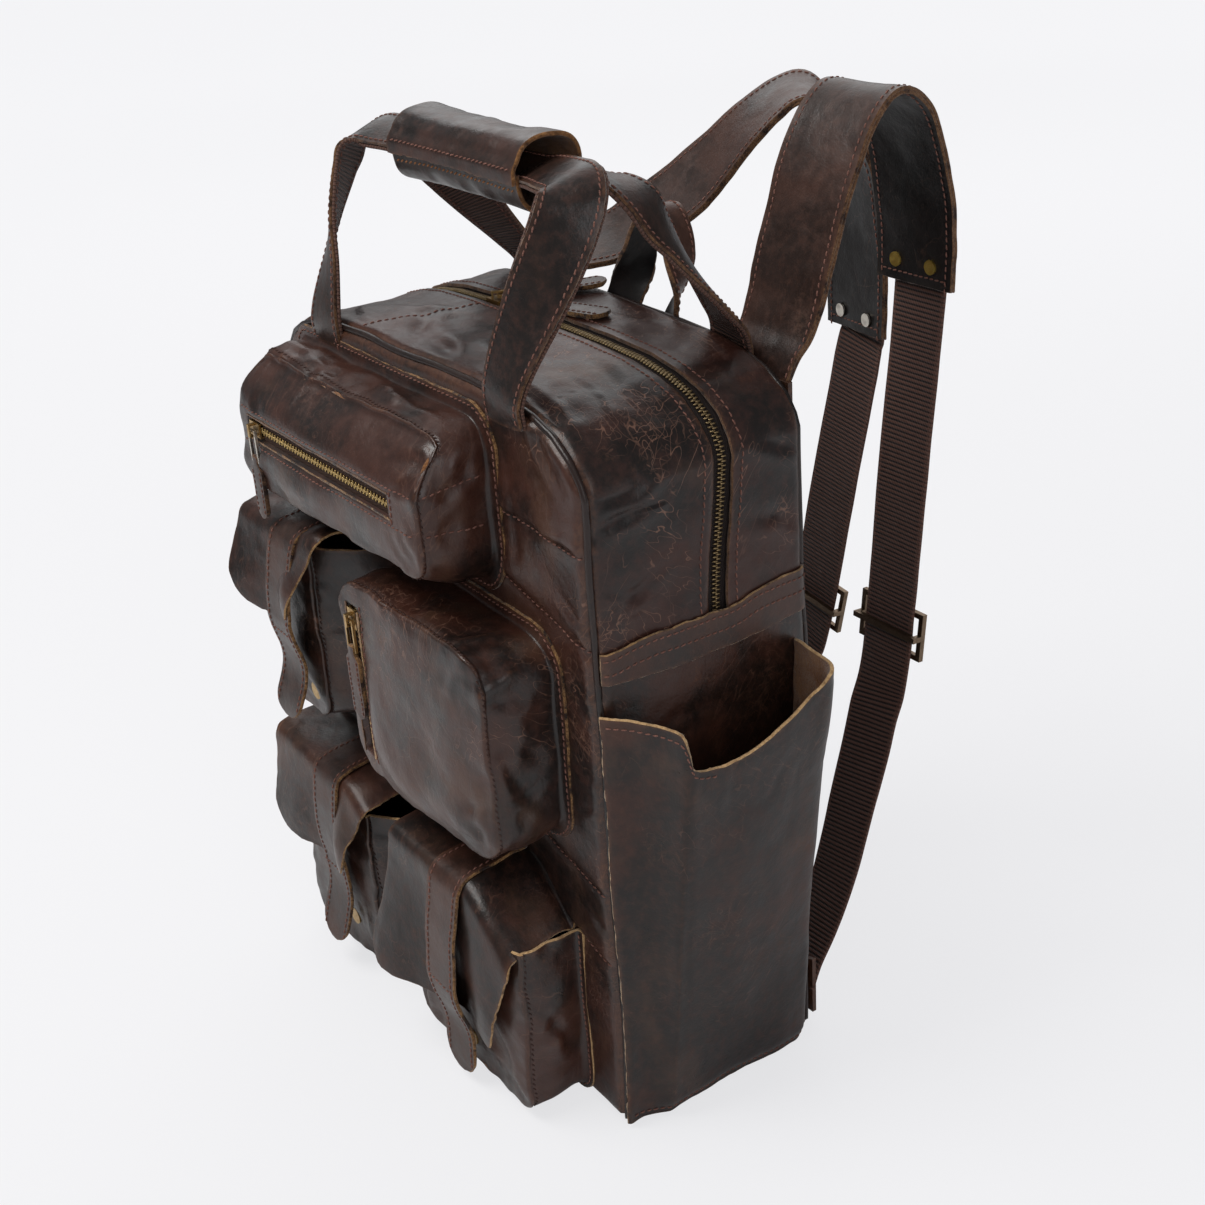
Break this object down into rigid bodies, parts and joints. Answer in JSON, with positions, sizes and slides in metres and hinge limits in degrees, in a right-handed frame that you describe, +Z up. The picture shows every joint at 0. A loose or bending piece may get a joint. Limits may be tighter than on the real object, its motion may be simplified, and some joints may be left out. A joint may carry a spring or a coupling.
{
  "type": "backpack",
  "caption": "Leather backpack with zipped and flap front pockets, side slip pockets, wrapped carry handle, hanging loop and adjustable shoulder straps.",
  "frame": {"origin": "bottom centre of the main body, on the resting face", "axes": "+Z up, the front with the outside pockets faces -Y, the shoulder straps are on the +Y side, +X to the right of someone looking at the front"},
  "size_m": [0.4124, 0.3738, 0.575],
  "materials": {
    "leather": "oiled pull-up leather, satin",
    "strap_leather": "oiled strap leather, satin",
    "webbing": "ribbed nylon webbing",
    "zip_chain": "woven zip tape with metal teeth",
    "antique_brass": "antique, worn",
    "steel": "nickel plated, dull",
    "lining_cloth": "plain cotton",
    "foam": "closed-cell foam",
    "board": "stiffener board"
  },
  "bodies": {
    "shell": {"front_panel": "leather", "back_panel": "leather", "bottom_panel": "leather", "gusset_front": "leather", "gusset_rear": "leather", "side_panel_left": "leather", "side_panel_right": "leather", "side_bands": "leather", "lining": "lining_cloth", "back_padding": "foam", "base_board": "board", "main_zip": "zip_chain", "top_pocket_shell": "leather", "top_pocket_zip": "zip_chain", "mid_pocket_shell": "leather", "mid_pocket_zip": "zip_chain", "pocket_upper_left": "leather", "pocket_lower_left": "leather", "pocket_lower_right": "leather", "flap_root_upper_left": "leather", "flap_root_lower_left": "leather", "flap_root_lower_right": "leather", "snap_sockets": "steel", "slip_pocket_left": "leather", "slip_pocket_right": "leather", "anchor_tabs": "strap_leather"},
    "main_slider_left": {"main_left_slider": "antique_brass"},
    "main_pull_left": {"main_left_link": "antique_brass", "main_left_tab": "strap_leather"},
    "main_slider_right": {"main_right_slider": "antique_brass"},
    "main_pull_right": {"main_right_link": "antique_brass", "main_right_tab": "strap_leather"},
    "top_slider": {"top_pocket_slider": "antique_brass"},
    "top_pull": {"top_pocket_link": "antique_brass", "top_pocket_tab": "strap_leather"},
    "mid_slider": {"mid_pocket_slider": "antique_brass"},
    "mid_pull": {"mid_pocket_link": "antique_brass", "mid_pocket_tab": "strap_leather"},
    "flap_ul": {"flap_upper_left": "leather", "flap_strap_upper_left": "strap_leather", "snap_stud_upper_left": "steel"},
    "flap_ll": {"flap_lower_left": "leather", "flap_strap_lower_left": "strap_leather", "snap_stud_lower_left": "steel"},
    "flap_lr": {"flap_lower_right": "leather", "flap_strap_lower_right": "strap_leather", "snap_stud_lower_right": "steel"},
    "carry_grip": {"handle_front": "strap_leather", "handle_rear": "strap_leather", "grip_wrap": "strap_leather"},
    "grip_cover": {"grip_flap": "strap_leather"},
    "back_loop": {"hang_loop": "strap_leather"},
    "shoulder_right": {"shoulder_strap_right": "strap_leather", "webbing_right": "webbing", "strap_rivets_right": "antique_brass"},
    "shoulder_left": {"shoulder_strap_left": "strap_leather", "webbing_left": "webbing", "strap_rivets_left": "steel"},
    "buckle_right": {"adjuster_right": "antique_brass"},
    "buckle_left": {"adjuster_left": "antique_brass"}
  },
  "joints": [
    {"name": "main_left_slide", "type": "slide", "parent": "shell", "child": "main_slider_left", "axis": [-1, 0, 0], "range_m": [0, 0.05]},
    {"name": "main_left_pull", "type": "hinge", "parent": "main_slider_left", "child": "main_pull_left", "pos_m": [-0.048, 0.016, 0.453], "axis": [0.8829, -0.4695, 0], "range_deg": [0, 150]},
    {"name": "main_right_slide", "type": "slide", "parent": "shell", "child": "main_slider_right", "axis": [1, 0, 0], "range_m": [0, 0.13]},
    {"name": "main_right_pull", "type": "hinge", "parent": "main_slider_right", "child": "main_pull_right", "pos_m": [-0.028, 0.016, 0.453], "axis": [0.342, -0.9397, 0], "range_deg": [0, 150]},
    {"name": "top_zip_slide", "type": "slide", "parent": "shell", "child": "top_slider", "axis": [1, 0, 0], "range_m": [0, 0.15]},
    {"name": "top_zip_pull", "type": "hinge", "parent": "top_slider", "child": "top_pull", "pos_m": [-0.116, -0.1264, 0.386], "axis": [-1, 0, 0], "range_deg": [0, 150]},
    {"name": "mid_zip_slide", "type": "slide", "parent": "shell", "child": "mid_slider", "axis": [0, 0, -1], "range_m": [0, 0.082]},
    {"name": "mid_zip_pull", "type": "hinge", "parent": "mid_slider", "child": "mid_pull", "pos_m": [-0.016, -0.1264, 0.294], "axis": [-1, 0, 0], "range_deg": [0, 150]},
    {"name": "flap_upper_left_open", "type": "hinge", "parent": "shell", "child": "flap_ul", "pos_m": [-0.097, -0.1215, 0.313], "axis": [-1, 0, 0], "range_deg": [0, 115]},
    {"name": "flap_lower_left_open", "type": "hinge", "parent": "shell", "child": "flap_ll", "pos_m": [-0.09, -0.1215, 0.148], "axis": [-1, 0, 0], "range_deg": [0, 150]},
    {"name": "flap_lower_right_open", "type": "hinge", "parent": "shell", "child": "flap_lr", "pos_m": [0.065, -0.1215, 0.148], "axis": [-1, 0, 0], "range_deg": [0, 150]},
    {"name": "carry_handle_drop", "type": "slide", "parent": "shell", "child": "carry_grip", "axis": [0, 0, -1], "range_m": [0, 0.035], "deforming": ["handle_front", "handle_rear"]},
    {"name": "grip_cover_open", "type": "hinge", "parent": "carry_grip", "child": "grip_cover", "pos_m": [0, 0.006, 0.549], "axis": [-1, 0, 0], "range_deg": [0, 110]},
    {"name": "back_loop_tilt", "type": "hinge", "parent": "shell", "child": "back_loop", "pos_m": [0.018, 0.078, 0.44], "axis": [-1, 0, 0], "range_deg": [-10, 45]},
    {"name": "shoulder_right_swing", "type": "hinge", "parent": "shell", "child": "shoulder_right", "pos_m": [0.119, 0.077, 0.425], "axis": [-0.0469, -0.0049, 0.9989], "range_deg": [-20, 3]},
    {"name": "shoulder_left_swing", "type": "hinge", "parent": "shell", "child": "shoulder_left", "pos_m": [-0.119, 0.077, 0.425], "axis": [0.0469, -0.0049, 0.9989], "range_deg": [-3, 25]},
    {"name": "buckle_right_slide", "type": "slide", "parent": "shoulder_right", "child": "buckle_right", "axis": [0.0042, 0.0949, 0.9955], "range_m": [0, 0.15]},
    {"name": "buckle_left_slide", "type": "slide", "parent": "shoulder_left", "child": "buckle_left", "axis": [0.1338, 0.1016, 0.9858], "range_m": [0, 0.1]}
  ]
}
